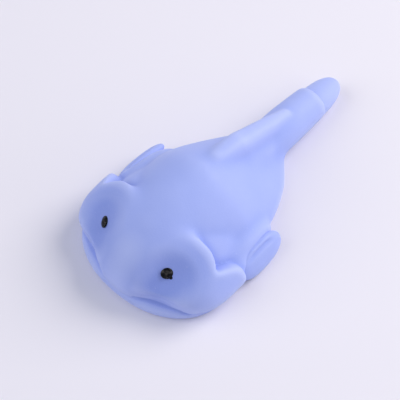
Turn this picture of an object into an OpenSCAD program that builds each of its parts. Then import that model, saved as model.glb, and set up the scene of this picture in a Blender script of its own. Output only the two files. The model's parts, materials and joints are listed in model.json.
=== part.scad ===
// Squeezable blobfish figure: a soft moulded skin round a gel filling, with painted eyes.
// The skin is drawn as the regions that flex against each other. Millimetres, snout towards -Y,
// +Z up, origin on the table under the middle of the figure. Left is the figure's own left, +X.

/* [Lengths] */
// Snout to the waist, where the tail bends
snout_to_waist = 71.5; // [67:0.5:76]
// Waist to the bend of the tail fin
tail_len = 14.5; // [12.5:0.5:18]
// Bend of the tail fin to its tip
tail_fin_len = 14; // [11:0.5:17]

/* [Skin] */
// Wall of the moulded skin
skin_wall = 2.5; // [1.6:0.1:3.2]
// Gap between two regions of the skin
seam = 0.3; // [0.2:0.05:0.4]
// Gap between the skin and the filling
fill_gap = 0.6; // [0.5:0.05:0.9]

/* [Trunk] */
// Width of the trunk at its widest
trunk_w = 41; // [37:0.5:44]
// Height of the back above the table
trunk_h = 26.5; // [24:0.5:30]
// Height of the trunk's widest line
trunk_wide_z = 3; // [2:0.5:5]
// Snout to the front of the trunk form, inside the head
trunk_setback = 9; // [7:0.5:12]
// Snout to the trunk's highest and widest station
trunk_crown = 38; // [36:0.5:41]

/* [Head] */
// Width of the head between the gill covers
head_w = 45; // [41:0.5:48]
// Height of the forehead
head_h = 22.5; // [20:0.5:25]
// Height of the head's widest line, at its widest station
head_wide_z = 9.5; // [8:0.5:11]
// Height of the tip of the snout
snout_z = 6.5; // [5:0.5:8]
// Length of the head form, snout to the rear of the gills
head_len = 21; // [19:0.5:23.5]
// Snout to the head's widest station
head_wide_at = 17.5; // [15:0.5:19]

/* [Eyes] */
// Distance between the eyes
eye_spacing = 28.4; // [25:0.2:31]
// Snout to the eyes
eye_setback = 9.2; // [8:0.2:11]
// Diameter of an eye
eye_d = 3.2; // [2.4:0.1:4]
// Height that the eye's paint stands above the skin
eye_proud = 0.3; // [0.1:0.05:0.5]
// Radius of the hollow that an eye lies in
socket_r = 20; // [16:0.5:24]
// Depth of that hollow
socket_depth = 1.8; // [1.2:0.1:2.2]
// Depth of an eye's seat in the skin
eye_sunk = 0.7; // [0.4:0.1:1]
// Lean of the eye from straight up towards the side
eye_lean = 48; // [40:1:56]
// Turn of the eye from the side towards the front
eye_turn = 20; // [10:1:30]

/* [Gills, cheeks and mouth] */
// Height of a gill cover along its rear rim
gill_h = 21.2; // [18:0.2:24]
// Length of a gill cover
gill_len = 13.4; // [11:0.2:16]
// Thickness of a gill cover's lens
gill_thick = 11.8; // [9:0.2:13]
// Gill cover's middle behind the eye
gill_setback = 8.2; // [6.5:0.1:9.5]
// Gill cover's middle out from the eye
gill_out = -1; // [-2:0.1:1]
// Gill cover's middle below the face at the eye
gill_drop = 2.1; // [1.5:0.1:3.5]
// Lean of a gill cover from straight up towards the side
gill_lean = 38; // [32:1:48]
// Length of a cheek lobe
cheek_len = 23; // [20:0.5:26]
// Width of a cheek lobe
cheek_w = 12.5; // [10:0.5:16]
// Height of a cheek lobe
cheek_h = 12; // [9:0.5:14]
// Distance between the outer faces of the cheek lobes
cheek_spread = 56; // [53:0.5:59]
// Snout to the middle of a cheek lobe
cheek_at = 20; // [17:0.5:22]
// Width of the lower lip
lip_w = 50; // [47:0.5:53]
// Height of the lower lip
lip_h = 5; // [4:0.5:6]
// Distance of the lower lip behind the tip of the snout
lip_setback = 1; // [0.6:0.1:2.4]

/* [Fins] */
// Length of a pectoral fin behind its root
pectoral_len = 16.5; // [14:0.5:19]
// Breadth of a pectoral fin
pectoral_w = 9.4; // [8:0.2:11]
// Thickness of a pectoral fin
pectoral_thick = 4.4; // [3.6:0.1:5.2]
// Length of a pectoral fin before its hinge line
pectoral_root = 3.2; // [2.4:0.2:4.4]
// Hinge line of a pectoral fin to its broadest station
pectoral_broad = 6.6; // [5:0.2:8]
// Pectoral fin's hinge line out from the middle of the cheek lobe
pectoral_out = 2.75; // [2:0.25:3.5]
// Pectoral fin's hinge line before the rear end of the cheek lobe
pectoral_inset = 1; // [0.5:0.25:2]
// Lean of a pectoral fin's upper edge towards the body
pectoral_lean = 25; // [15:1:35]
// Turn of a pectoral fin's tip towards the body
pectoral_toe = 3; // [0:1:6]
// Swing of a pectoral fin away from the body
flap = 25; // [10:1:35]
// Snout to the front of the dorsal fin
dorsal_setback = 47.8; // [46:0.1:50]
// Length of the dorsal fin
dorsal_len = 29.2; // [25:0.1:31]
// Front of the dorsal fin to the end of its level crest
dorsal_level = 6.4; // [4:0.2:9]
// Level crest of the dorsal fin below the height of the back
dorsal_drop = 1.3; // [0.8:0.1:2.2]
// Rise of the dorsal fin's rear corner above the tail
dorsal_rise = 1.2; // [0.8:0.1:2.4]
// Depth of the dorsal fin, with the part that meets the back
dorsal_h = 15; // [12:0.5:17]
// Thickness of the dorsal fin
dorsal_thick = 7.6; // [6:0.2:9]

/* [Tail] */
// Width of the tail at the waist
waist_w = 13.2; // [12:0.2:15]
// Height of the tail at the waist
waist_h = 13.6; // [12.5:0.5:15.5]
// Width of the tail's rear lobe
lobe_w = 11.8; // [11:0.2:13.6]
// Height of the tail's rear lobe
lobe_h = 11.6; // [10.4:0.1:12.4]
// Width of the tail fin
tail_fin_w = 10.6; // [8.6:0.2:11]
// Height of the tail fin
tail_fin_h = 8.4; // [7:0.1:9]
// Bend of the tail fin to the rear end of the lobe round it
lobe_over = 3; // [2:0.2:4]
// Height of the tail above the table
tail_lift = 0.5; // [0.3:0.1:1]
// Bend of the tail at the waist, each way
wag = 25; // [10:1:28]
// Bend of the tail fin, each way
flick = 28; // [10:1:30]

/* [Squeeze] */
// Width of the part of the back that a thumb presses in
press_w = 22; // [18:0.5:24]
// Length of that part
press_len = 17; // [13:0.5:18]
// Skin between that part and the dorsal fin
press_gap = 1.2; // [0.8:0.1:3]

/* [Filling plug] */
// Diameter of the filling hole's plug
plug_d = 6; // [4:0.5:8]
// Diameter of the plug's inner flange
plug_flange_d = 9.5; // [8.5:0.5:12]
// Thickness of that flange
plug_flange = 1.2; // [0.8:0.1:2]

/* [Hidden] */

skin_blue = [0.66, 0.72, 0.97];
gel_white = [0.9, 0.92, 1];
LEFT = 1;
RIGHT = -1;

// Facets round and along a large soft form, a small one and the inside of the skin
large = [20, 14];
small = [16, 10];
inside = [16, 13];
ball = 18;
hollow_ball = 26;
pocket_ball = 26;
eye_round = 24;
turned = 48;

// Stations along the body
nose_y = -(snout_to_waist + tail_len + tail_fin_len) / 2;
waist_y = nose_y + snout_to_waist;
flick_y = waist_y + tail_len;
trunk_crown_y = nose_y + trunk_crown;
head_wide_y = nose_y + head_wide_at;
head_rear_y = nose_y + head_len;
dorsal_y = nose_y + dorsal_setback;
cheek_y = nose_y + cheek_at;
pectoral_y = cheek_y + cheek_len / 2 - pectoral_inset;
press_y = dorsal_y - press_gap - press_len / 2;
waist_r = waist_w / 2;
// Station behind which the trunk's sides rise straight to its ridge, as a tent's do
tent_y = waist_y - waist_w;
cheek_x = (cheek_spread - cheek_w) / 2;
pectoral_x = cheek_x + pectoral_out;
// The trunk's pocket round the tail stops where the bent tail's flank would meet it, and a little before
wag_spare = 5;
pocket_y = waist_y - waist_r * sin(wag + wag_spare);
// Turn over which the tail fin's flank stays within its round root
root_turn = 18;
// Turn of the tail fin's pocket past square to the body
pocket_lead = flick - root_turn;
// Depth of the forms below the table, where they are cut flat
sink = 2;
// Depth of a cheek lobe below the table, where it is cut flat
cheek_sink = 0.5;
// Rounding powers: 2 is an ellipse, less is a point, more is blunter
trunk_front_n = 2.6;
trunk_side_n = 1.62;
trunk_back_n = 1.3;
trunk_tent_n = 1.3;
head_plan_n = 2.4;
head_chin_n = 1.5;
head_rear_n = 3;
lip_front_n = 2.7;
paddle_n = 2.4;
dorsal_front_n = 6;
dorsal_rear_n = 6;
tail_root_n = 4;
tail_lobe_n = 5;
oval_n = 2;
// Larger than the whole figure, for cutting, and the depth that a cut starts before a face
big = 200;
lead_in = 1;
// Shares of a pectoral fin's swing at which its room is cut
swing_shares = [0, 0.5, 1];

// Height of a rounded profile at share t of the way from its crown to its end; n = 2 is an ellipse
function arch(t, n) = pow(max(0, 1 - pow(min(1, abs(t)), n)), 1 / n);
// A profile with its crown between front and rear, rounded by its own power before and after it
function swell(y, front, crown, rear, n_front, n_rear) =
    y < crown ? arch((crown - y) / (crown - front), n_front) : arch((y - crown) / (rear - crown), n_rear);
function mix(a, b, t) = a + (b - a) * max(0, min(1, t));

// Share of a half axis at share t of a section's round; n is the section's rounding power
function section(t, n) = sign(t) * pow(abs(t), 2 / n);

// A soft closed form along Y
// shape(y) is [half width, height of the widest line, rise above it, drop below it] and may end with
// the rounding power of the section above that line
module bean(front, rear, facets, shape) {
    around = facets[0];
    along = facets[1];
    stations = [for (i = [1 : along - 1]) (front + rear) / 2 - (rear - front) / 2 * cos(180 * i / along)];
    points = concat(
        [[0, front, shape(front)[1]]],
        [for (y = stations, j = [0 : around - 1])
            let (
                s = shape(y),
                h = sin(360 * j / around),
                n = h > 0 && len(s) > 4 ? s[4] : oval_n
            )
            [
                s[0] * section(cos(360 * j / around), n),
                y,
                s[1] + (h > 0 ? s[2] : s[3]) * section(h, n)
            ]],
        [[0, rear, shape(rear)[1]]]
    );
    last = len(points) - 1;
    function at(i, j) = i < 0 ? 0 : i > along - 2 ? last : 1 + i * around + j % around;
    faces = [for (i = [-1 : along - 2], j = [0 : around - 1], half = [0, 1])
        let (
            far = at(i + 1, j + 1),
            t = half == 0 ? [at(i, j), at(i, j + 1), far] : [at(i, j), far, at(i + 1, j)]
        )
        if (t[0] != t[1] && t[1] != t[2] && t[2] != t[0]) t];
    polyhedron(points, faces);
}

// The mesh of soft forms that are cut by each other, at their own size
module moulded() { resize([0, 0, 0]) children(); }

module sided(side) {
    if (side == LEFT) children();
    else mirror([1, 0, 0]) children();
}

// Everything above the table, or above height z
module above(z = 0) {
    intersection() {
        children();
        translate([-big / 2, -big / 2, z]) cube(big);
    }
}

module trunk_form(grow = 0, facets = large) {
    front = nose_y + trunk_setback - grow;
    rear = waist_y + grow;
    bean(front, rear, facets, function(y)
        [
            (trunk_w / 2 + grow) * swell(y, front, trunk_crown_y, rear, trunk_front_n, trunk_side_n),
            trunk_wide_z,
            (trunk_h - trunk_wide_z + grow)
                * swell(y, front, trunk_crown_y, rear, trunk_front_n, trunk_back_n),
            (trunk_wide_z + sink + grow) * swell(y, front, trunk_crown_y, rear, trunk_front_n, oval_n),
            mix(oval_n, trunk_tent_n, (y - head_rear_y) / (tent_y - head_rear_y))
        ]);
}

function head_shape(y, grow) = let (front = nose_y - grow, rear = head_rear_y + grow) [
    (head_w / 2 + grow) * swell(y, front, head_wide_y, rear, head_plan_n, head_rear_n),
    mix(snout_z, head_wide_z, (y - nose_y) / head_wide_at),
    (head_h - head_wide_z + grow) * swell(y, front, head_wide_y, rear, oval_n, head_rear_n),
    (head_wide_z + sink + grow) * swell(y, front, head_wide_y, rear, head_chin_n, head_rear_n)
];

module head_form(grow = 0, facets = large) {
    bean(nose_y - grow, head_rear_y + grow, facets, function(y) head_shape(y, grow));
}

// The eye's place on the face, on the left side
eye_x = eye_spacing / 2;
eye_y = nose_y + eye_setback;
eye_face = head_shape(eye_y, 0);
eye_z = eye_face[1] + eye_face[2] * arch(eye_x / eye_face[0], oval_n);

module at_eye(side) {
    sided(side) translate([eye_x, eye_y, eye_z]) rotate([0, eye_lean, -eye_turn]) children();
}

module eye_hollow(side, grow = 0, facets = hollow_ball) {
    at_eye(side) translate([0, 0, socket_r - socket_depth]) sphere(socket_r + grow, $fn = facets);
}

module eye_bore(side, grow = 0) {
    at_eye(side) translate([0, 0, -socket_depth - eye_sunk])
        cylinder(socket_r / 2, d = eye_d + 2 * grow, $fn = eye_round);
}

module gill_form(side, grow = 0) {
    sided(side)
        translate([eye_x + gill_out, eye_y + gill_setback, eye_z - gill_drop])
            rotate([0, gill_lean, 0])
                scale([gill_h / 2 + grow, gill_len / 2 + grow, gill_thick / 2 + grow])
                    sphere(1, $fn = ball);
}

module cheek_form(side, grow = 0) {
    sided(side)
        translate([cheek_x, cheek_y, cheek_h / 2 - cheek_sink])
            scale([cheek_w / 2 + grow, cheek_len / 2 + grow, cheek_h / 2 + grow]) sphere(1, $fn = ball);
}

module lip_form() {
    front = nose_y + lip_setback;
    rear = head_rear_y;
    bean(front, rear, large, function(y)
        let (s = swell(y, front, head_wide_y, rear, lip_front_n, head_plan_n))
        [lip_w / 2 * s, lip_h / 2, lip_h / 2 * s, (lip_h / 2 + sink) * s]);
}

module pectoral_form(side, angle = 0, grow = 0) {
    front = -pectoral_root - grow;
    rear = pectoral_len + grow;
    sided(side)
        translate([pectoral_x, pectoral_y, pectoral_w / 2])
            rotate([0, -pectoral_lean, pectoral_toe - angle])
                bean(front, rear, small, function(y)
                    let (
                        s = swell(y, front, pectoral_broad, rear, paddle_n, paddle_n),
                        half = (pectoral_w / 2 + grow) * s
                    )
                    [(pectoral_thick / 2 + grow) * s, 0, half, half]);
}

module pectoral_sweep(side) {
    for (share = swing_shares) pectoral_form(side, share * flap, seam);
}

module dorsal_form() {
    rear = dorsal_y + dorsal_len;
    bean(dorsal_y, rear, small, function(y)
        let (
            top = mix(
                trunk_h - dorsal_drop,
                waist_h + dorsal_rise,
                (y - dorsal_y - dorsal_level) / (dorsal_len - dorsal_level)
            ),
            s = swell(y, dorsal_y, dorsal_y + dorsal_len / 2, rear, dorsal_front_n, dorsal_rear_n)
        )
        [dorsal_thick / 2 * s, top - dorsal_h / 2, dorsal_h / 2 * s, dorsal_h / 2 * s]);
}

module tail_form() {
    rear = tail_len + lobe_over;
    translate([0, waist_y, 0])
        bean(-waist_w, rear, small, function(y)
            let (
                t = y / tail_len,
                s = swell(y, -waist_w, 0, rear, tail_root_n, tail_lobe_n),
                half = mix(waist_h, lobe_h, t) / 2
            )
            [mix(waist_w, lobe_w, t) / 2 * s, half, half * s, (half - tail_lift) * s]);
}

module at_flick() { translate([0, flick_y, tail_fin_h / 2 + tail_lift]) children(); }

// The tail fin's root is a turned form about its bend, and its blade runs on from that
module tail_fin_form() {
    at_flick() bean(-tail_fin_w / 2, tail_fin_len, small, function(y)
        let (
            s = swell(y, -tail_fin_w / 2, 0, tail_fin_len, oval_n, paddle_n),
            half = tail_fin_h / 2 * s
        )
        [tail_fin_w / 2 * s, 0, half, half]);
}

// Room in the lobe for the tail fin at every bend
module tail_fin_pocket() {
    r = tail_fin_w / 2 + seam;
    half = tail_fin_h / 2 + seam;
    reach = lobe_over + lobe_w;
    at_flick() {
        scale([r, r, half]) sphere(1, $fn = pocket_ball);
        rotate(-pocket_lead) rotate_extrude(angle = 180 + 2 * pocket_lead, $fn = pocket_ball)
            polygon([[0, -half], [reach, -half], [reach, half], [0, half]]);
    }
}

// Round end of the tail at the waist, and the pocket that it turns in
module waist_round(grow = 0) {
    translate([0, waist_y, -lead_in]) cylinder(big, r = waist_r + grow, $fn = turned);
}

// What the tail's top passes through as it turns about the waist
module tail_sweep() {
    translate([0, waist_y, 0]) {
        cylinder(waist_h + seam, r = waist_r + seam, $fn = turned);
        rotate_extrude(angle = 180, $fn = turned)
            polygon([
                [0, 0],
                [tail_len + waist_w, 0],
                [tail_len + waist_w, lobe_h + seam],
                [tail_len, lobe_h + seam],
                [0, waist_h + seam]
            ]);
    }
}

module behind(y) { translate([-big / 2, y, -lead_in]) cube(big); }

// Straight-sided outline of the part of the back that presses in
module press_outline(grow = 0) {
    translate([0, press_y, trunk_h / 2])
        scale([press_w / 2 + grow, press_len / 2 + grow, 1]) cylinder(big, r = 1, $fn = turned);
}

module plug_hole(grow = 0) {
    translate([0, trunk_crown_y, -lead_in])
        cylinder(skin_wall + lead_in, d = plug_d + 2 * grow, $fn = turned);
}

// The space inside the skin, shrunk by a clearance
module cavity(clear = 0) {
    above(skin_wall + clear)
        difference() {
            union() {
                trunk_form(-skin_wall - clear, inside);
                head_form(-skin_wall - clear, inside);
            }
            waist_round(skin_wall + seam + clear);
            for (side = [LEFT, RIGHT]) eye_hollow(side, skin_wall + clear, ball);
        }
}

module trunk_skin() {
    color(skin_blue) moulded() above() difference() {
        trunk_form();
        cavity();
        press_outline(seam);
        waist_round(seam);
        behind(pocket_y);
        plug_hole(seam / 2);
    }
}

module back_skin() {
    color(skin_blue) moulded() intersection() {
        difference() {
            trunk_form();
            cavity();
        }
        press_outline();
    }
}

module head_skin() {
    color(skin_blue) moulded() above() difference() {
        head_form();
        trunk_form(seam);
        cavity();
        for (side = [LEFT, RIGHT]) {
            eye_hollow(side);
            eye_bore(side, seam / 2);
        }
    }
}

module gill_cover(side) {
    color(skin_blue) moulded() above() difference() {
        gill_form(side);
        trunk_form(seam);
        head_form(seam);
        eye_hollow(side);
    }
}

module cheek_lobe(side) {
    color(skin_blue) moulded() above() difference() {
        cheek_form(side);
        trunk_form(seam);
        head_form(seam);
        gill_form(side, seam);
        pectoral_sweep(side);
    }
}

module lower_lip() {
    color(skin_blue) moulded() above() difference() {
        lip_form();
        head_form(seam);
        trunk_form(seam);
        for (side = [LEFT, RIGHT]) cheek_form(side, seam);
    }
}

module eye(side) {
    color("black") moulded() difference() {
        eye_bore(side);
        eye_hollow(side, -eye_proud);
    }
}

module dorsal_fin() {
    color(skin_blue) moulded() difference() {
        dorsal_form();
        trunk_form(seam);
        tail_sweep();
    }
}

module pectoral_fin(side) {
    color(skin_blue) moulded() difference() {
        pectoral_form(side);
        trunk_form(seam);
    }
}

module tail_stock() {
    color(skin_blue) moulded() difference() {
        intersection() {
            tail_form();
            union() {
                behind(waist_y);
                waist_round();
            }
        }
        tail_fin_pocket();
    }
}

module tail_fin() {
    color(skin_blue) tail_fin_form();
}

module filling() {
    color(gel_white) moulded() difference() {
        cavity(fill_gap);
        translate([0, trunk_crown_y, 0])
            cylinder(
                skin_wall + plug_flange + seam + fill_gap,
                d = plug_flange_d + 2 * fill_gap,
                $fn = turned
            );
    }
}

module fill_plug() {
    color(skin_blue) translate([0, trunk_crown_y, 0]) {
        translate([0, 0, seam]) cylinder(skin_wall, d = plug_d, $fn = turned);
        translate([0, 0, skin_wall + seam]) cylinder(plug_flange, d = plug_flange_d, $fn = turned);
    }
}

trunk_skin();
back_skin();
head_skin();
gill_cover(LEFT);  // gill_cover_left
gill_cover(RIGHT);  // gill_cover_right
cheek_lobe(LEFT);  // cheek_lobe_left
cheek_lobe(RIGHT);  // cheek_lobe_right
lower_lip();
eye(LEFT);  // eye_left
eye(RIGHT);  // eye_right
dorsal_fin();
pectoral_fin(LEFT);  // pectoral_fin_left
pectoral_fin(RIGHT);  // pectoral_fin_right
tail_stock();
tail_fin();
filling();
fill_plug();
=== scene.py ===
import json
import math

import bpy
import numpy as np
from mathutils import Matrix, Vector

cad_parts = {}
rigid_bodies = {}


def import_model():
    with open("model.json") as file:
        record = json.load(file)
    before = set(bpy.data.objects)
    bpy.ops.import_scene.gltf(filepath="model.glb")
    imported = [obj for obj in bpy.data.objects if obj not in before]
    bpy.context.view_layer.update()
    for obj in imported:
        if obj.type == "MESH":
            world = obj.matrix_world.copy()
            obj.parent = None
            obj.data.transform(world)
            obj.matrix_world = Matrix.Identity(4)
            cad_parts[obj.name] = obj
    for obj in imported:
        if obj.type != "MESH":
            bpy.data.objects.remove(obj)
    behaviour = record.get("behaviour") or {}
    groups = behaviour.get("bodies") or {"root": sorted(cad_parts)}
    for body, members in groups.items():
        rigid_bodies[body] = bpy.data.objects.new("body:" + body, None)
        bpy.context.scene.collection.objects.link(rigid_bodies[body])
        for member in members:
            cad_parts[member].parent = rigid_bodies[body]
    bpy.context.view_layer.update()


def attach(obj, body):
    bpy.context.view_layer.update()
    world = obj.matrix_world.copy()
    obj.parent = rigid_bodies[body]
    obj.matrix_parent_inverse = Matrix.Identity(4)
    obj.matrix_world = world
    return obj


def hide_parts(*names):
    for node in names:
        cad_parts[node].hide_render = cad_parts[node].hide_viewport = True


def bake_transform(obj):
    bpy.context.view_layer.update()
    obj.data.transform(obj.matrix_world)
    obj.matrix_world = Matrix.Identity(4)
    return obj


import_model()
scene = bpy.context.scene

# Sizes and places are in millimetres unless a comment says otherwise.
# +Y runs to the tail, +Z is up, and +X is the figure's own left.
MM = 0.001
LEFT, RIGHT = 1, -1

# Stations along the figure: snout, waist, bend of the tail fin
SNOUT_Y, WAIST_Y, FLICK_Y = -50.0, 21.5, 36.0
# Plane where the body's skin ends and the tail's begins
SEAM_Y = 19.5

# Width and height of the tail at the waist and at its rim, and how far its underside is lifted
WAIST_W, WAIST_H = 13.2, 13.6
RIM_W, RIM_H = 11.8, 11.6
TAIL_LIFT = 0.5
TAIL_FIN_HALF_W = 5.3

# Front, widest station and rear of each form
FACE = (SNOUT_Y, -31.0, -28.2)
BROW = (-47.0, -32.0, -16.0)
LIP = (SNOUT_Y, -31.0, -27.0)
NECK = (-40.0, -25.0, -3.0)
TRUNK = (-41.0, -12.0, WAIST_Y)
SHOULDER = (-32.0, -16.5, -3.0)
DORSAL = (-16.0, 6.0, 27.4)
DORSAL_FOOT = (-12.0, 4.0, 26.0)
TAIL = (WAIST_Y - WAIST_W, WAIST_Y, FLICK_Y + 3)
TAIL_FIN = (FLICK_Y - TAIL_FIN_HALF_W, FLICK_Y, 50.0)
FILLING = (-44.5, -26.0, 14.0)
# The same for a pectoral fin and its root, along the fin's own length
PADDLE = (-3.2, 5.5, 15.2)
FIN_ROOT = (-6.0, -1.5, 3.6)

# Middle of each shoulder, from the figure's middle plane
SHOULDER_X = 18.4
# Root of the left pectoral fin, and its turn and lean in degrees
FIN_AT = (24.5, -19.5, 4.7)
FIN_TURN, FIN_LEAN = 3, -25

# Where the face begins to flare into its rear rim
FLARE_Y = -37.0
# End of that rim by the angle round the section: cheek lobe, notch, gill scallop, crown
RIM_ENDS = {
    -90: -28, -50: -25.2, -30: -23.2, -10: -21.9, 5: -21.6, 13: -21.9, 18.5: -22.6, 23.5: -24.3, 28: -27.4,
    32: -30.2,
    35: -29.2, 39: -28.2, 46: -27.3, 60: -27.6, 75: -29.2, 90: -31,
}
RIGHT_LOBE_SHORTER = 1.4
# Where the upper lip stands along the figure, by the distance from the middle
UPPER_LIP = {3.5: -50.2, 6.5: -48.9, 9.0: -47.2, 12.0: -45.7, 24.4: -41.0}
BEAK_AT, BEAK_RADII = (0, -46.4, 5.4), (9.0, 3.6, 4.4)
# Fold between the upper lip and the lower, from the middle to the corner
MOUTH = [
    (6.5, -48.6, 5.1), (9, -47.0, 5.2), (12, -45.6, 5.1), (14.6, -44.6, 4.9), (19, -42.9, 4.4),
    (24.2, -40.8, 2.4),
]
MOUTH_FOLD, MOUTH_REACH = 0.4, 0.9
# Middle, reach and depth of the hollows of each side of the face: round the eye, below it, and the dish
# between it and the gill rim
HOLLOWS = [
    ((13.8, -42.4, 15.2), 10.5, 2.2),
    ((14.0, -46.0, 11.0), 8.0, 1.0),
    ((16.4, -37.4, 17.2), 10.5, 1.2),
]

# Lines along which creases are eased, on the left side
RIM_TOP = [(0, -31, 23.6), (4, -30.8, 23.0), (7.5, -30.3, 21.8)]
DORSAL_BASE = [(4.6, -8, 23.6), (4.4, 0, 19.6), (4.4, 10, 14.6), (4.0, 18, 12.6), (3.2, 24, 12.5)]
SHOULDER_TOP = [(19.5, -32, 12.0), (19.5, -20, 12.0), (19.0, -4, 8.5)]
FIN_TOP = [(23.0, -24, 8.0), (22.4, -16, 9.0)]
# Dip where the back runs down to the tail
WAIST_DIP = [(9.0, -3.0, 17.0), (9.5, 5.0, 12.5), (9.8, 11.5, 8.0), (8.0, 16.0, 8.0), (6.0, 20.5, 11.0)]

# Middle of the painted shade, a deeper blue, round the left eye, and how far it reaches
SOCKET_SHADE, SOCKET_REACH = [(11.0, -45.0, 12.0), (15.5, -41.5, 13.5), (17.0, -38.5, 16.5)], 15.0
# Ridge of the snout along which light is painted, paler, and how far it reaches
NOSE_RIDGE, NOSE_REACH = [(0, -49.5, 6.0), (0, -47.0, 11.0), (0, -43.0, 16.0)], 10.0
# Depth below the eased skin at which a hollow gets the full painted shade
FULL_HOLLOW = 0.3

# The left eye's place and the line on which it looks out
EYE_AT, EYE_OUT = (12.94, -40.34, 15.25), (0.698, -0.254, 0.669)
EYE_RADII = {LEFT: (1.95, 1.7, 0.62), RIGHT: (2.1, 1.35, 0.6)}
# The dots were put on by hand: the right one sits a little farther out, the left one ran a little
EYE_SLIP = {LEFT: (0, 0, 0), RIGHT: (-0.8, 0.6, -0.6)}
EYE_RUN, EYE_RUN_RADII = (1.28, 0.27, -1.24), (0.62, 0.55, 0.34)

# Plug of the filling hole
PLUG_AT, PLUG_RADIUS, PLUG_STEM = (0, -12, 0.3), 3.0, 2.5
FLANGE_SPREAD, FLANGE_THICK = 1.58, 1.2
HOLE_RADIUS, HOLE_DEPTH = 3.2, 1.6

# Finest distance that matters when a skin is cut, in metres
CUT_LIMIT = 1e-6
# Share of the way to its neighbours that a point moves in each round of smoothing
SMOOTHING = 0.5
OVAL = 2


# Camera, floor and light, in metres

def place_camera():
    azimuth, elevation, distance = math.radians(42.15), math.radians(57.7), 0.5
    aim_right, aim_up = -0.00903, -0.00349
    back = Vector((
        math.sin(azimuth) * math.cos(elevation),
        -math.cos(azimuth) * math.cos(elevation),
        math.sin(elevation),
    ))
    right = Vector((math.cos(azimuth), math.sin(azimuth), 0))
    up = back.cross(right)
    aim = right * aim_right + up * aim_up
    camera = bpy.data.objects.new("camera", bpy.data.cameras.new("camera"))
    scene.collection.objects.link(camera)
    camera.data.sensor_width = 36
    camera.data.lens = 147.15
    camera.data.clip_start, camera.data.clip_end = 0.01, 20
    camera.location = back * distance
    level = (-back).to_track_quat("-Z", "Y")
    camera.rotation_euler = ((-back).rotation_difference(aim - camera.location) @ level).to_euler()
    scene.camera = camera


def place_floor():
    """A plain pale floor, a hair below the belly so that the two don't share a plane."""
    bpy.ops.object.select_all(action="DESELECT")
    bpy.ops.mesh.primitive_plane_add(size=8, location=(0, 0, -0.05 * MM))
    floor = bpy.context.object
    floor.name = "floor"
    paint = bpy.data.materials.new("pale_floor")
    paint.use_nodes = True
    shader = paint.node_tree.nodes["Principled BSDF"]
    shader.inputs["Base Color"].default_value = (0.87, 0.84, 0.89, 1)
    shader.inputs["Roughness"].default_value = 0.7
    shader.inputs["Specular IOR Level"].default_value = 0.2
    floor.data.materials.append(paint)


def place_light(name, at, size, watts, colour):
    """A round soft light aimed at the figure."""
    lamp = bpy.data.objects.new(name, bpy.data.lights.new(name, "AREA"))
    scene.collection.objects.link(lamp)
    lamp.data.shape = "DISK"
    lamp.data.size = size
    lamp.data.energy = watts
    lamp.data.color = colour
    lamp.location = at
    lamp.rotation_euler = (-lamp.location).to_track_quat("-Z", "Y").to_euler()


def light_the_scene():
    world = bpy.data.worlds.new("studio")
    world.use_nodes = True
    world.node_tree.nodes["Background"].inputs["Color"].default_value = (0.74, 0.79, 0.95, 1)
    world.node_tree.nodes["Background"].inputs["Strength"].default_value = 0.43
    scene.world = world
    place_light("key", at=(0.40, 0.92, 0.80), size=0.95, watts=12.0, colour=(1.0, 0.96, 0.94))
    place_light("side", at=(0.85, 0.40, 0.40), size=0.6, watts=1.5, colour=(1.0, 0.97, 0.95))
    place_light("fill", at=(-1.1, -1.5, 1.5), size=2.4, watts=22.0, colour=(0.95, 0.97, 1.0))
    scene.view_settings.view_transform = "Standard"


# Curves and distances

def arch(t, n):
    return max(0.0, 1 - min(1.0, abs(t)) ** n) ** (1 / n)


def swell(y, front, crown, rear, n_front, n_rear):
    """Rises from 0 at the front to 1 at the crown and falls to 0 at the rear; a higher n is blunter."""
    if y < crown:
        return arch((crown - y) / (crown - front), n_front)
    return arch((y - crown) / (rear - crown), n_rear)


def mix(a, b, t):
    return a + (b - a) * max(0.0, min(1.0, t))


def between(place, table):
    """A table's value at a station or an angle, with straight lengths between its entries."""
    return float(np.interp(place, list(table), list(table.values())))


def step(values, start, end):
    """Runs softly from 0 at the start to 1 at the end."""
    t = np.clip((values - start) / (end - start), 0, 1)
    return t * t * (3 - 2 * t)


def bell(distance, reach):
    """Falls softly from 1 at no distance to 0 at the reach."""
    return 0.5 + 0.5 * np.cos(np.pi * np.clip(distance / reach, 0, 1))


def away(points, path):
    """Distance of each point from a path of straight lengths."""
    path = np.asarray(path, float)
    least = np.full(len(points), np.inf)
    for a, b in zip(path[:-1], path[1:]):
        t = np.clip((points - a) @ (b - a) / ((b - a) @ (b - a)), 0, 1)
        least = np.minimum(least, np.linalg.norm(points - a - t[:, None] * (b - a), axis=1))
    return least


def mirrored(place, side):
    return (place[0] * side, place[1], place[2])


def both_sides(points):
    """The points with those of the right side mirrored to the left."""
    return np.column_stack([np.abs(points[:, 0]), points[:, 1], points[:, 2]])


# Modelling helpers

def only(obj):
    bpy.ops.object.select_all(action="DESELECT")
    obj.select_set(True)
    bpy.context.view_layer.objects.active = obj


def finish_with(obj, kind, **values):
    """Adds a modifier and applies it."""
    only(obj)
    modifier = obj.modifiers.new(kind.lower(), kind)
    for key, value in values.items():
        setattr(modifier, key, value)
    bpy.ops.object.modifier_apply(modifier=modifier.name)


def read(items, name, width, kind=float):
    """One number, or a row of them, from each item of a mesh."""
    values = np.empty(len(items) * width, dtype=kind)
    items.foreach_get(name, values)
    return values.reshape(-1, width) if width > 1 else values


def points_of(obj):
    return read(obj.data.vertices, "co", 3) / MM


def normals_of(obj):
    return read(obj.data.vertex_normals, "vector", 3)


def move_points(obj, points):
    obj.data.vertices.foreach_set("co", (points * MM).ravel())
    obj.data.update()
    return obj


def section(half, middle, rise, drop, roundness=OVAL):
    """A cross-section: half width, height of the widest line, rise above it, drop below it, and the upper
    half's roundness, where less than an oval's is more like a tent."""
    return half, middle, rise, drop, roundness


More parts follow.
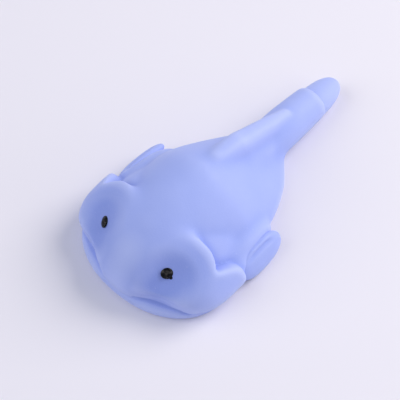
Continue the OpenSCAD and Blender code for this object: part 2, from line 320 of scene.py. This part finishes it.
def bean(name, span, shape, sides=72, rings=56, flow=None):
    """A ball drawn out along the figure, with the section that shape(y) gives at each station. flow(y, angle)
    may move a station along the figure by the angle round the section."""
    front, _, rear = span
    bpy.ops.object.select_all(action="DESELECT")
    bpy.ops.mesh.primitive_uv_sphere_add(
        segments=sides, ring_count=rings, radius=1, rotation=(-math.pi / 2, 0, 0))
    obj = bpy.context.object
    obj.name = name
    bpy.ops.object.transform_apply(rotation=True)
    points = points_of(obj) * MM
    for point in points:
        x, y, z = point
        station = (front + rear) / 2 + (rear - front) / 2 * y
        half, middle, rise, drop, n = shape(station)
        r = math.hypot(x, z)
        if r < 1e-6:
            point[:] = (0, station, middle)
            continue
        wide, tall = x / r, z / r
        if tall > 0:
            wide = math.copysign(abs(wide) ** (2 / n), wide)
            tall = tall ** (2 / n) * rise
        else:
            tall = tall * drop
        along = flow(station, math.degrees(math.atan2(z, abs(x)))) if flow else station
        point[:] = (half * wide, along, middle + tall)
    return move_points(obj, points)


def ball(name, at, radii, turn=(0, 0, 0)):
    """A ball scaled to its three radii and turned."""
    bpy.ops.object.select_all(action="DESELECT")
    bpy.ops.mesh.primitive_uv_sphere_add(segments=64, ring_count=40, radius=MM)
    obj = bpy.context.object
    obj.name = name
    obj.scale = radii
    obj.rotation_euler = turn
    obj.location = Vector(at) * MM
    bpy.ops.object.transform_apply(location=True, rotation=True, scale=True)
    return obj


def fuse(name, pieces, voxel, rounds):
    """Joins pieces into one closed skin and eases the creases between them."""
    bpy.ops.object.select_all(action="DESELECT")
    for piece in pieces:
        piece.select_set(True)
    obj = pieces[0]
    bpy.context.view_layer.objects.active = obj
    if len(pieces) > 1:
        bpy.ops.object.join()
    obj.name = name
    finish_with(obj, "REMESH", mode="VOXEL", voxel_size=voxel * MM)
    finish_with(obj, "SMOOTH", factor=SMOOTHING, iterations=rounds)
    return obj


def ease(obj, weights, rounds, levels=20):
    """Smooths a skin where weights, one for each point, say so."""
    group = obj.vertex_groups.new(name="ease")
    nearest = np.round(np.clip(weights, 0, 1) * levels).astype(int)
    for level in range(1, levels + 1):
        picked = np.flatnonzero(nearest == level)
        if len(picked):
            group.add(picked.tolist(), level / levels, "REPLACE")
    finish_with(obj, "SMOOTH", factor=SMOOTHING, iterations=rounds, vertex_group="ease")
    obj.vertex_groups.clear()


def press_in(obj, at, reach, depth):
    """Presses a soft hollow into a skin."""
    points = points_of(obj)
    amount = depth * bell(np.linalg.norm(points - np.array(at), axis=1), reach)
    move_points(obj, points - normals_of(obj) * amount[:, None])


def mark_hollows(obj, rounds=40, pull=0.6):
    """Stores on each point, from 0 to 1, painted shade by how far it lies in a hollow and round the eye
    sockets, and painted light by how far it stands on an edge, along the snout's ridge and on the lips.
    """
    points, outward = points_of(obj), normals_of(obj)
    a, b = read(obj.data.edges, "vertices", 2, int).T
    count = np.bincount(a, minlength=len(points)) + np.bincount(b, minlength=len(points))
    eased = points.copy()
    for _ in range(rounds):
        around = np.column_stack([
            np.bincount(a, eased[b, axis], len(points)) + np.bincount(b, eased[a, axis], len(points))
            for axis in range(3)])
        eased = (1 - pull) * eased + pull * around / np.maximum(count, 1)[:, None]
    # How far each point lies in a hollow, which sets the painted shade there; below zero it stands on an
    # edge, which gets painted light
    hollow = np.sum((eased - points) * outward, axis=1) / FULL_HOLLOW
    # The lips get less painted shade and some painted light
    lips = step(points[:, 1], -36, -40) * step(points[:, 2], 9, 6.5)
    # Painted shade round the eye sockets
    socket_shade = bell(away(both_sides(points), SOCKET_SHADE), SOCKET_REACH) * (1 - lips)
    deep = np.maximum(hollow * (0.8 - 0.45 * lips), socket_shade)
    # Painted light along the snout's ridge
    painted_light_on_snout = bell(away(points, NOSE_RIDGE), NOSE_REACH)
    painted_light_on_lips = 0.7 * lips * np.clip(1 - 2 * hollow, 0, 1)
    painted_light_amount = np.maximum.reduce([-hollow, painted_light_on_snout, painted_light_on_lips])
    for name, amount in (("hollow", deep), ("edge", painted_light_amount)):
        mark = obj.data.attributes.new(name, "FLOAT", "POINT")
        mark.data.foreach_set("value", np.clip(amount, 0, 1).astype(np.float32))


def slice_through(obj, at, along, **options):
    """Cuts a skin by a plane."""
    only(obj)
    bpy.ops.object.mode_set(mode="EDIT")
    bpy.ops.mesh.select_all(action="SELECT")
    bpy.ops.mesh.bisect(plane_co=at, plane_no=along, threshold=CUT_LIMIT, **options)
    bpy.ops.object.mode_set(mode="OBJECT")


def bore(skin, at, radius, depth):
    """Sinks a round hole into the belly."""
    bpy.ops.object.select_all(action="DESELECT")
    bpy.ops.mesh.primitive_cylinder_add(vertices=64, radius=radius * MM, depth=2 * depth * MM,
                                        location=Vector(at) * MM)
    drill = bpy.context.object
    finish_with(skin, "BOOLEAN", operation="DIFFERENCE", object=drill, solver="EXACT")
    bpy.data.objects.remove(drill)


# Sections of the forms

def face_shape(y):
    front, crown, _ = FACE
    middle = mix(6.5, 5.5, (y - front) / 18)
    top = mix(6.5, 10.6, (y - front) / 20) + 13.0 * swell(y, *FACE, 2, 5)
    return section(
        half=27.3 * swell(y, *FACE, 2.15, 16),
        middle=middle,
        rise=(top - middle) if y < crown else (23.6 - middle) * swell(y, *FACE, 2, 16),
        drop=8.0 * swell(y, *FACE, 1.65, 5),
        roundness=between(y, {-49: 2.0, -41: 1.9, -33: 1.85}),
    )


def face_rim(y, angle):
    """The rear rim of the face: a gill scallop above the notch, a longer cheek lobe below it."""
    rear = FACE[2]
    t = max(0.0, (y - FLARE_Y) / (rear - FLARE_Y))
    return y + (between(angle, RIM_ENDS) - rear) * t * t


def brow_shape(y):
    top = between(y, {-47: 11.5, -45: 16.0, -40: 20.0, -35: 22.6, -30: 24.2, -25: 25.4, -20: 26.1, -16: 25.0})
    half = between(y, {-34: 16.0, -26: 17.4})
    middle = 8.0
    s = swell(y, *BROW, 2.4, 2.4)
    return section(half=half * s, middle=middle, rise=(top - middle) * min(1.0, 1.6 * s), drop=4.0 * s)


def lip_shape(y):
    s = swell(y, *LIP, 2.15, 3)
    return section(half=25.6 * s, middle=1.8, rise=3.7 * swell(y, *LIP, 4, 3), drop=4.5 * s, roundness=3.2)


def neck_shape(y):
    s = swell(y, *NECK, 2, 2)
    return section(half=22.9 * s, middle=4.6, rise=18.4 * s, drop=4.6 * s, roundness=1.85)


def trunk_shape(y):
    top = between(y, {-12: 26.3, -8: 25.4, -4: 23.8, 0: 21.6, 4: 19.1, 8: 16.5, 12: 13.9, 16: 11.2, 20: 7.5,
                      WAIST_Y: 3.0})
    middle = 3.0
    return section(
        half=20.5 * swell(y, *TRUNK, 2.6, 1.62),
        middle=middle,
        rise=23.3 * swell(y, *TRUNK, 2.6, 1.16) if y < TRUNK[1] else top - middle,
        drop=5.0 * swell(y, *TRUNK, 2.6, 2),
        roundness=between(y, {-41: 2, -30: 2, -12: 1.85, -2: 1.5, 8: 1.3, WAIST_Y: 1.3}),
    )


def shoulder_shape(y):
    s = swell(y, *SHOULDER, 2.2, 2)
    return section(half=5.7 * s, middle=4.6, rise=7.6 * s, drop=5.0 * s)


def dorsal_top(y):
    return between(y, {-16: 25.4, -9: 26.0, -4: 25.5, 0: 24.9, 4.2: 24.1, 8: 22.1, 26.5: 14.0})


def dorsal_shape(y):
    half = between(y, {-16: 4.6, -6: 4.5, 6: 4.1, 18: 3.5, 27: 2.9})
    deep = between(y, {-16: 5.5, 0: 8.0, 27: 6.0})
    s = swell(y, *DORSAL, 2.2, 7)
    return section(half=half * s, middle=dorsal_top(y) - deep, rise=deep * min(1.0, s * 1.15), drop=deep * s,
                   roundness=2.6)


def dorsal_foot_shape(y):
    """The broader foot on which the dorsal fin stands, a little below its top."""
    half = between(y, {-12: 6.2, 0: 7.2, 10: 6.8, 20: 5.6, 26: 4.2})
    deep = between(y, {-12: 4.0, 0: 6.5, 26: 4.5})
    below = 3.4
    s = swell(y, *DORSAL_FOOT, 2.2, 3)
    return section(half=half * s, middle=dorsal_top(y) - below - deep, rise=deep * min(1.0, s * 1.15),
                   drop=deep * s, roundness=1.5)


def tail_shape(y):
    t = (y - WAIST_Y) / (FLICK_Y - WAIST_Y)
    half_height = mix(WAIST_H, RIM_H, t) / 2
    s = swell(y, *TAIL, 4, 12)
    return section(half=mix(WAIST_W, RIM_W, t) / 2 * s, middle=half_height, rise=half_height * s,
                   drop=(half_height - TAIL_LIFT) * s)


def tail_fin_shape(y):
    s = swell(y, *TAIL_FIN, 2, 2.4)
    return section(half=TAIL_FIN_HALF_W * s, middle=4.7, rise=4.2 * s, drop=4.2 * s)


def paddle_rise(y):
    return 4.9 * swell(y, *PADDLE, 2.4, 2.4)


def paddle_shape(y):
    s = swell(y, *PADDLE, 2.4, 2.4)
    return section(half=2.2 * s, middle=0, rise=paddle_rise(y), drop=4.7 * s)


def fin_root_shape(y):
    s = swell(y, *FIN_ROOT, 2.2, 2.2)
    return section(half=1.5 * s, middle=2.4, rise=3.0 * s, drop=2.8 * s)


def filling_shape(y):
    top = between(y, {-46: 9, -42: 13, -36: 17, -28: 20.5, -20: 22.5, -12: 23, -4: 20, 4: 15, 10: 11,
                      14: 8.5})
    middle = 8.0
    s = swell(y, *FILLING, 2, 1.9)
    return section(half=17.6 * s, middle=middle, rise=(top - middle) * min(1.0, 1.5 * s), drop=4.9 * s,
                   roundness=1.75)


# Materials

def socket(group, way, kind, name, value=None):
    made = group.interface.new_socket(name=name, in_out=way, socket_type="NodeSocket" + kind)
    if value is not None:
        made.default_value = value


def noise_in(tree, vector, scale, detail, low, high):
    """A noise spread between two limits, from 0 to 1."""
    noise = tree.nodes.new("ShaderNodeTexNoise")
    noise.inputs["Scale"].default_value = scale
    noise.inputs["Detail"].default_value = detail
    tree.links.new(vector, noise.inputs["Vector"])
    spread = tree.nodes.new("ShaderNodeMapRange")
    spread.inputs["From Min"].default_value = low
    spread.inputs["From Max"].default_value = high
    tree.links.new(noise.outputs["Fac"], spread.inputs["Value"])
    return spread.outputs["Result"]


def scaled(tree, value, factor, plus=0.0):
    node = tree.nodes.new("ShaderNodeMath")
    node.operation = "MULTIPLY_ADD"
    node.inputs[1].default_value = factor
    node.inputs[2].default_value = plus
    tree.links.new(value, node.inputs[0])
    return node.outputs[0]


def joined(tree, a, b, operation):
    node = tree.nodes.new("ShaderNodeMath")
    node.operation = operation
    tree.links.new(a, node.inputs[0])
    tree.links.new(b, node.inputs[1])
    return node.outputs[0]


def blended(tree, factor, a, b):
    node = tree.nodes.new("ShaderNodeMix")
    node.data_type = "RGBA"
    tree.links.new(factor, node.inputs["Factor"])
    tree.links.new(a, node.inputs["A"])
    tree.links.new(b, node.inputs["B"])
    return node.outputs["Result"]


def make_powder_and_painted_light_group():
    """Soft moulded rubber under a film of powder: clouded colour, painted shade that deepens it in hollows,
    painted light that pales it along edges, fine specks and a velvety grain."""
    group = bpy.data.node_groups.new("powdered_skin_painted_shade_and_light", "ShaderNodeTree")
    socket(group, "INPUT", "Vector", "Place")
    socket(group, "INPUT", "Color", "Rubber", (0.42, 0.51, 0.95, 1))
    socket(group, "INPUT", "Color", "Deeper rubber and painted shade", (0.3, 0.38, 0.9, 1))
    socket(group, "INPUT", "Color", "Powder and painted light", (0.7, 0.75, 1, 1))
    socket(group, "INPUT", "Float", "Hollow", 0.0)
    socket(group, "INPUT", "Float", "Edge", 0.0)
    socket(group, "INPUT", "Float", "Roughness", 0.55)
    socket(group, "OUTPUT", "Color", "Colour")
    socket(group, "OUTPUT", "Float", "Roughness")
    socket(group, "OUTPUT", "Float", "Height")
    start = group.nodes.new("NodeGroupInput").outputs
    end = group.nodes.new("NodeGroupOutput").inputs
    cloud = noise_in(group, start["Place"], scale=70, detail=4, low=0.3, high=0.7)
    speck = noise_in(group, start["Place"], scale=1300, detail=1, low=0.69, high=0.74)
    grain = noise_in(group, start["Place"], scale=2600, detail=2, low=0.2, high=0.8)
    dimple = noise_in(group, start["Place"], scale=420, detail=3, low=0.2, high=0.8)
    # Painted shade in hollows, with a little random clouding, blends the rubber toward its darker colour
    depth = joined(group, scaled(group, start["Hollow"], 0.6), scaled(group, cloud, 0.12), "ADD")
    colour = blended(group, depth, start["Rubber"], start["Deeper rubber and painted shade"])
    # Painted light on edges, with real powder specks and grain, blends it toward the powder colour
    powder_film_and_painted_light = joined(group, scaled(group, start["Edge"], 0.5), scaled(group, speck, 0.15), "MAXIMUM")
    powder_film_and_painted_light = joined(group, powder_film_and_painted_light, scaled(group, grain, 0.1), "ADD")
    group.links.new(blended(group, powder_film_and_painted_light, colour, start["Powder and painted light"]), end["Colour"])
    rough = joined(group, start["Roughness"], scaled(group, cloud, 0.1, -0.05), "ADD")
    rough = joined(group, rough, scaled(group, grain, 0.08, -0.04), "ADD")
    group.links.new(rough, end["Roughness"])
    height = joined(group, scaled(group, grain, 0.6), scaled(group, dimple, 0.4), "ADD")
    group.links.new(height, end["Height"])
    return group


def powdered(name, rubber, deep, powder_and_painted_light, roughness, bump, marks=False):
    """A material of powdered rubber; marks takes the painted shade of hollows and the painted light of edges
    stored on the piece.
    """
    material = bpy.data.materials.new(name)
    material.use_nodes = True
    tree = material.node_tree
    shader = tree.nodes["Principled BSDF"]
    skin = tree.nodes.new("ShaderNodeGroup")
    skin.node_tree = powdered_skin_painted_shade_and_light
    place = tree.nodes.new("ShaderNodeTexCoord")
    tree.links.new(place.outputs["Object"], skin.inputs["Place"])
    for key, colour in (("Rubber", rubber), ("Deeper rubber and painted shade", deep), ("Powder and painted light", powder_and_painted_light)):
        skin.inputs[key].default_value = (*colour, 1)
    skin.inputs["Roughness"].default_value = roughness
    if marks:
        for key in ("hollow", "edge"):
            mark = tree.nodes.new("ShaderNodeAttribute")
            mark.attribute_name = key
            tree.links.new(mark.outputs["Fac"], skin.inputs[key.capitalize()])
    height = tree.nodes.new("ShaderNodeBump")
    height.inputs["Strength"].default_value = bump
    height.inputs["Distance"].default_value = 0.1 * MM
    tree.links.new(skin.outputs["Height"], height.inputs["Height"])
    tree.links.new(height.outputs["Normal"], shader.inputs["Normal"])
    tree.links.new(skin.outputs["Colour"], shader.inputs["Base Color"])
    tree.links.new(skin.outputs["Roughness"], shader.inputs["Roughness"])
    shader.inputs["Specular IOR Level"].default_value = 0.3
    shader.inputs["Sheen Weight"].default_value = 0.2
    shader.inputs["Sheen Roughness"].default_value = 0.5
    shader.inputs["Sheen Tint"].default_value = (0.8, 0.85, 1, 1)
    return material


def make_eye_paint():
    """Thick black gloss paint, its surface a little streaked by the brush, with paler streaks painted into
    its colour as highlights.
    """
    paint = bpy.data.materials.new("gloss_black_paint")
    paint.use_nodes = True
    tree = paint.node_tree
    shader = tree.nodes["Principled BSDF"]
    place = tree.nodes.new("ShaderNodeTexCoord").outputs["Object"]
    tint = tree.nodes.new("ShaderNodeMix")
    tint.data_type = "RGBA"
    tint.inputs["A"].default_value = (0.002, 0.002, 0.003, 1)
    # Paler brownish streaks painted into the black as highlights
    tint.inputs["B"].default_value = (0.070, 0.062, 0.056, 1)
    painted_highlight_streaks = noise_in(tree, place, scale=700, detail=3, low=0.52, high=0.72)
    tree.links.new(painted_highlight_streaks, tint.inputs["Factor"])
    tree.links.new(tint.outputs["Result"], shader.inputs["Base Color"])
    dull = noise_in(tree, place, scale=1500, detail=2, low=0.3, high=0.7)
    tree.links.new(scaled(tree, dull, 0.14, 0.06), shader.inputs["Roughness"])
    shader.inputs["Specular IOR Level"].default_value = 0.22
    streaks = tree.nodes.new("ShaderNodeBump")
    streaks.inputs["Strength"].default_value = 0.5
    streaks.inputs["Distance"].default_value = 0.3 * MM
    brushed = noise_in(tree, place, scale=1300, detail=2, low=0.2, high=0.8)
    tree.links.new(brushed, streaks.inputs["Height"])
    tree.links.new(streaks.outputs["Normal"], shader.inputs["Normal"])
    return paint


powdered_skin_painted_shade_and_light = make_powder_and_painted_light_group()
# On the skin the deep colour also serves as painted shade in hollows, and the powder colour as painted light
# on edges
skin_blue = powdered(
    "powdered_rubber_painted_shade_and_light", rubber=(0.37, 0.455, 0.90), deep=(0.20, 0.28, 0.74), powder_and_painted_light=(0.56, 0.63, 0.98),
    roughness=0.58, bump=0.25, marks=True)
plug_rubber = powdered(
    "plug_rubber", rubber=(0.33, 0.41, 0.84), deep=(0.22, 0.29, 0.7), powder_and_painted_light=(0.5, 0.57, 0.95),
    roughness=0.5, bump=0.3)
soft_gel = powdered(
    "soft_gel", rubber=(0.72, 0.77, 0.95), deep=(0.6, 0.67, 0.9), powder_and_painted_light=(0.85, 0.88, 1.0),
    roughness=0.25, bump=0.05)
eye_paint = make_eye_paint()


# The whole skin

def make_face():
    face = bean("face", FACE, face_shape, sides=180, rings=96, flow=face_rim)
    points = points_of(face)
    upper_lip = np.interp(np.abs(points[:, 0]), list(UPPER_LIP), list(UPPER_LIP.values()))
    points[:, 1] += step(points[:, 2], 11, 6) * np.maximum(0, upper_lip - points[:, 1])
    points[:, 1] -= RIGHT_LOBE_SHORTER * step(points[:, 0], -17, -21) * step(points[:, 1], -31, -24)
    move_points(face, points)
    skin = fuse("face", [face, ball("beak", BEAK_AT, BEAK_RADII)], voxel=0.5, rounds=3)
    points = points_of(skin)
    snout = step(points[:, 1], -33.0, -38.0) * step(points[:, 2], 2, 5)
    ease(skin, snout, rounds=40)
    return skin


def lay_fin(fin, side):
    """Brings a pectoral fin from its own axes to its place on the flank."""
    turn = Matrix.Rotation(math.radians(FIN_TURN), 4, "Z") @ Matrix.Rotation(math.radians(FIN_LEAN), 4, "Y")
    fin.data.transform(Matrix.Translation(Vector(FIN_AT) * MM) @ turn)
    if side == RIGHT:
        only(fin)
        bpy.ops.object.mode_set(mode="EDIT")
        bpy.ops.mesh.select_all(action="SELECT")
        bpy.ops.transform.mirror(constraint_axis=(True, False, False), center_override=(0, 0, 0))
        bpy.ops.mesh.normals_make_consistent(inside=False)
        bpy.ops.object.mode_set(mode="OBJECT")
    return fin


def make_rear():
    """Trunk, neck, tail and dorsal fin with the shoulders and the roots of the pectoral fins."""
    forms = [
        bean("trunk", TRUNK, trunk_shape),
        bean("neck", NECK, neck_shape),
        bean("tail", TAIL, tail_shape),
        bean("dorsal", DORSAL, dorsal_shape),
        bean("dorsal_foot", DORSAL_FOOT, dorsal_foot_shape),
    ]
    for side in (LEFT, RIGHT):
        shoulder = bean("shoulder", SHOULDER, shoulder_shape)
        points = points_of(shoulder)
        points[:, 0] += side * SHOULDER_X
        forms.append(move_points(shoulder, points))
        forms.append(lay_fin(bean("fin_root", FIN_ROOT, fin_root_shape), side))
    rear = fuse("rear", forms, voxel=0.5, rounds=3)
    points = points_of(rear)
    folded = both_sides(points)
    dorsal_base = bell(away(folded, DORSAL_BASE), 6.0)
    valley = bell(np.abs(points[:, 1] - 17.5), 8.0) * step(points[:, 2], 17, 13)
    flank = np.maximum(bell(away(folded, SHOULDER_TOP), 8.0), bell(away(folded, FIN_TOP), 6.5))
    back = step(points[:, 1], -24, -14) * step(points[:, 1], 16, 10) * step(points[:, 2], 4, 7) \
        * step(folded[:, 0], 4.5, 7.0)
    ease(rear, np.maximum.reduce([dorsal_base, valley, flank, back]), rounds=80)
    points = points_of(rear)
    dip = bell(away(both_sides(points), WAIST_DIP), 7.0) * step(points[:, 2], 2, 5)
    ease(rear, dip, rounds=140)
    return rear


def make_whole_skin():
    forms = [
        make_face(),
        make_rear(),
        bean("brow", BROW, brow_shape),
        bean("lip", LIP, lip_shape),
    ]
    skin = fuse("skin", forms, voxel=0.45, rounds=3)
    points = points_of(skin)
    folded = both_sides(points)
    forehead = step(folded[:, 0], 15, 8) * step(points[:, 1], -47, -42) * step(points[:, 1], -14, -20) \
        * step(points[:, 2], 12, 16)
    ease(skin, np.maximum(forehead, bell(away(folded, RIM_TOP), 7.0)), rounds=120)
    for side in (LEFT, RIGHT):
        for at, reach, depth in HOLLOWS:
            press_in(skin, mirrored(at, side), reach, depth)
    points = points_of(skin)
    fold = MOUTH_FOLD * bell(away(both_sides(points), MOUTH), MOUTH_REACH)
    move_points(skin, points - normals_of(skin) * fold[:, None])
    return skin


# Shading of the skin's rounded and flat faces

def corners_of(obj):
    """Each face corner's point, and the face that it belongs to."""
    sizes = read(obj.data.polygons, "loop_total", 1, int)
    return read(obj.data.loops, "vertex_index", 1, int), np.repeat(np.arange(len(sizes)), sizes)


def flat_faces(obj):
    """Which faces are shaded flat: the belly, the plug's hole and the ends at the seam."""
    middles = read(obj.data.polygons, "center", 3) / MM
    outward = read(obj.data.polygons, "normal", 3)
    from_plug = np.hypot(middles[:, 0] - PLUG_AT[0], middles[:, 1] - PLUG_AT[1])
    belly = middles[:, 2] < 0.01
    hole = (from_plug < HOLE_RADIUS + 0.1) & (middles[:, 2] < HOLE_DEPTH + 0.2)
    seam = (np.abs(middles[:, 1] - SEAM_Y) < 0.01) & (np.abs(outward[:, 1]) > 0.99)
    return belly | hole | seam


def smooth_normals(obj):
    """Normals of the points from the rounded faces alone, so that the belly's edge keeps the flank's
    shading."""
    outward = read(obj.data.polygons, "normal", 3)
    areas = read(obj.data.polygons, "area", 1)
    corners, owner = corners_of(obj)
    weight = np.where(flat_faces(obj), 1e-9, areas)[owner][:, None] * outward[owner]
    total = np.column_stack([
        np.bincount(corners, weight[:, axis], len(obj.data.vertices)) for axis in range(3)])
    return total / np.maximum(np.linalg.norm(total, axis=1), 1e-30)[:, None]


def shade_by_face(obj, smooth):
    outward = read(obj.data.polygons, "normal", 3)
    corners, owner = corners_of(obj)
    flat = flat_faces(obj)[owner][:, None]
    obj.data.normals_split_custom_set(np.where(flat, outward[owner], smooth[corners]).tolist())


def part_at_seam(obj):
    """Parts the skin at the seam, closes both ends and keeps the smooth shading across it."""
    slice_through(obj, (0, SEAM_Y * MM, 0), (0, 1, 0))
    shading = {tuple(np.round(p, 4)): n for p, n in zip(points_of(obj), smooth_normals(obj))}
    bpy.ops.object.mode_set(mode="EDIT")
    bpy.ops.mesh.select_mode(type="FACE")
    bpy.ops.mesh.select_all(action="DESELECT")
    bpy.ops.object.mode_set(mode="OBJECT")
    middles = read(obj.data.polygons, "center", 3) / MM
    obj.data.polygons.foreach_set("select", middles[:, 1] > SEAM_Y)
    bpy.ops.object.mode_set(mode="EDIT")
    before = set(bpy.data.objects)
    bpy.ops.mesh.separate(type="SELECTED")
    bpy.ops.object.mode_set(mode="OBJECT")
    rest = (set(bpy.data.objects) - before).pop()
    for piece in (obj, rest):
        only(piece)
        bpy.ops.object.mode_set(mode="EDIT")
        bpy.ops.mesh.select_mode(type="EDGE")
        bpy.ops.mesh.select_all(action="DESELECT")
        bpy.ops.mesh.select_non_manifold()
        bpy.ops.mesh.edge_face_add()
        bpy.ops.mesh.select_all(action="SELECT")
        bpy.ops.mesh.normals_make_consistent(inside=False)
        bpy.ops.object.mode_set(mode="OBJECT")
        bpy.ops.object.shade_smooth()
        shade_by_face(piece, np.array([shading[tuple(np.round(p, 4))] for p in points_of(piece)]))
    return obj, rest


# The pieces

def find_eye_seats(skin):
    """Where each eye's own line meets the skin, and the way that the eye faces there."""
    seats = {}
    for side in (LEFT, RIGHT):
        out = Vector(mirrored(EYE_OUT, side)).normalized()
        start = Vector(mirrored(EYE_AT, side)) + Vector(EYE_SLIP[side]) + out * 4
        _, at, normal, _ = skin.ray_cast(start * MM, -out)
        seats[side] = (at / MM, (normal + out).normalized())
    return seats


def make_skins():
    """Makes the body's and the tail's skin, and returns the seats of the eyes."""
    whole = make_whole_skin()
    mark_hollows(whole)
    seats = find_eye_seats(whole)
    slice_through(whole, (0, 0, 0), (0, 0, 1), use_fill=True, clear_inner=True)
    bore(whole, (PLUG_AT[0], PLUG_AT[1], 0), HOLE_RADIUS, HOLE_DEPTH)
    body, tail = part_at_seam(whole)
    body.name, tail.name = "body_skin", "tail_skin"
    for piece in (body, tail):
        piece.data.materials.append(skin_blue)
    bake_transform(body)
    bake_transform(tail)
    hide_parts("trunk_skin", "back_skin", "head_skin", "gill_cover_left", "gill_cover_right",
                "cheek_lobe_left", "cheek_lobe_right", "lower_lip", "dorsal_fin")
    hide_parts("tail_stock")
    return seats


def make_filling():
    gel = fuse("filling_gel", [bean("filling_gel", FILLING, filling_shape)], voxel=0.8, rounds=6)
    bpy.ops.object.shade_smooth()
    gel.data.materials.append(soft_gel)
    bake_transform(gel)
    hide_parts("filling")


def make_plug():
    """A button plug: a rounded face in the belly's hole, a stem, and a flange inside."""
    bpy.ops.object.select_all(action="DESELECT")
    bpy.ops.mesh.primitive_circle_add(vertices=64, radius=PLUG_RADIUS * MM, fill_type="NGON",
                                      location=Vector(PLUG_AT) * MM)
    plug = bpy.context.object
    plug.name = "belly_plug"
    bpy.ops.object.transform_apply(location=True)
    bpy.ops.object.mode_set(mode="EDIT")
    bpy.ops.mesh.select_all(action="SELECT")
    stem_top = Vector((PLUG_AT[0], PLUG_AT[1], PLUG_AT[2] + PLUG_STEM)) * MM
    for lift, spread in ((PLUG_STEM, 1.0), (0.0, FLANGE_SPREAD), (FLANGE_THICK, 1.0)):
        bpy.ops.mesh.extrude_region_move(TRANSFORM_OT_translate={"value": (0, 0, lift * MM)})
        if spread != 1.0:
            bpy.ops.transform.resize(value=(spread, spread, 1), center_override=stem_top)
    bpy.ops.mesh.select_all(action="SELECT")
    bpy.ops.mesh.normals_make_consistent(inside=False)
    bpy.ops.object.mode_set(mode="OBJECT")
    finish_with(plug, "BEVEL", width=0.35 * MM, segments=4, limit_method="ANGLE")
    bpy.ops.object.shade_smooth_by_angle(angle=math.radians(40))
    plug.data.materials.append(plug_rubber)
    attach(plug, "body")
    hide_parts("fill_plug")


def make_tail_fin():
    fin = bean("tail_fin_skin", TAIL_FIN, tail_fin_shape)
    mark_hollows(fin)
    bpy.ops.object.shade_smooth()
    fin.data.materials.append(skin_blue)
    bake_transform(fin)
    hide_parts("tail_fin")


def make_pectoral(side, word):
    """A paddle with a raised rim along its upper edge and a groove below the rim."""
    fin = bean("pectoral_skin_" + word, PADDLE, paddle_shape, sides=120, rings=90)
    points = points_of(fin)
    below_edge = np.array([paddle_rise(y) for y in points[:, 1]]) - points[:, 2]
    rim = 0.3 * bell(np.abs(below_edge - 0.4), 1.2)
    groove = 0.45 * bell(np.abs(below_edge - 1.8), 1.3)
    middle_of_fin = step(points[:, 1], -1.0, 4.0) * step(points[:, 1], 13.0, 9.0)
    outer_face = step(points[:, 0], 0.0, 0.8)
    points[:, 0] += (rim - groove) * middle_of_fin * outer_face
    lay_fin(move_points(fin, points), side)
    mark_hollows(fin, rounds=25)
    only(fin)
    bpy.ops.object.shade_smooth()
    fin.data.materials.append(skin_blue)
    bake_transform(fin)
    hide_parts("pectoral_fin_" + word)


def make_eye(side, word, seat, out):
    """A thick dot of paint, and on the left its run, lifted a little because the skin is hollow there."""
    dots = [((0, 0, 0), EYE_RADII[side])]
    if side == LEFT:
        dots.append((EYE_RUN, EYE_RUN_RADII))
    facing = out.to_track_quat("Z", "Y").to_euler()
    made = []
    for at, radii in dots:
        stand_off = 0.1 + 0.14 * Vector(at).length
        made.append(ball("eye_dot_" + word, seat + out * stand_off + Vector(at), radii, facing))
    eye = fuse("eye_dot_" + word, made, voxel=0.09, rounds=4)
    bpy.ops.object.shade_smooth()
    eye.data.materials.append(eye_paint)
    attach(eye, "body")
    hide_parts("eye_" + word)


place_camera()
place_floor()
light_the_scene()
eye_seats = make_skins()
make_filling()
make_plug()
make_tail_fin()
for side, word in ((LEFT, "left"), (RIGHT, "right")):
    make_pectoral(side, word)
    make_eye(side, word, *eye_seats[side])
